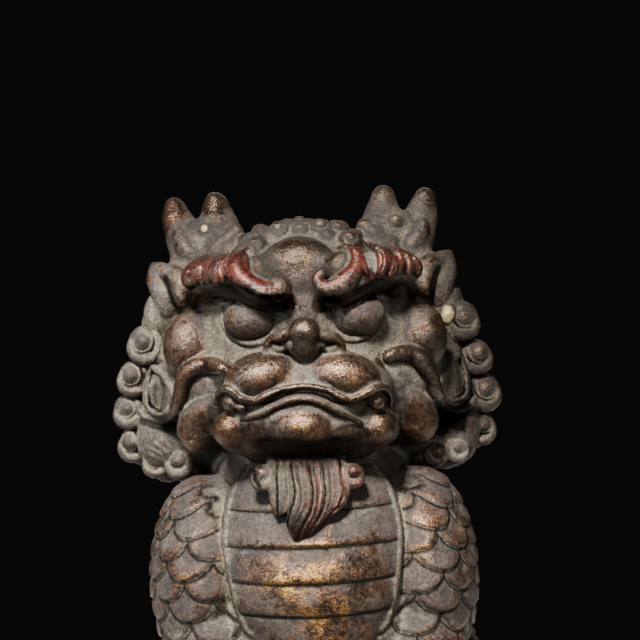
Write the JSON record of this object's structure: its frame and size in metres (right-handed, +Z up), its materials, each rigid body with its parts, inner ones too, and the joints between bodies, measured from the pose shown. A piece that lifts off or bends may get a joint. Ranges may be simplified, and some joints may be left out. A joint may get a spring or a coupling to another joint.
{
  "type": "qilin figure",
  "caption": "Small cast bronze qilin sitting upright on a low base, with blunt antlers, scaled body, plated belly, curled mane and combed beard.",
  "frame": {"origin": "centre of the base's underside", "axes": "+Z up, the face looks along -Y, +X to the right of someone who looks at the face"},
  "size_m": [0.1208, 0.1117, 0.191],
  "materials": {
    "patinated_bronze": "dark brown lacquered patina with worn gilding, traces of red paint and pale dust in the recesses"
  },
  "bodies": {
    "root": {"qilin_figure": "patinated_bronze"}
  },
  "joints": []
}
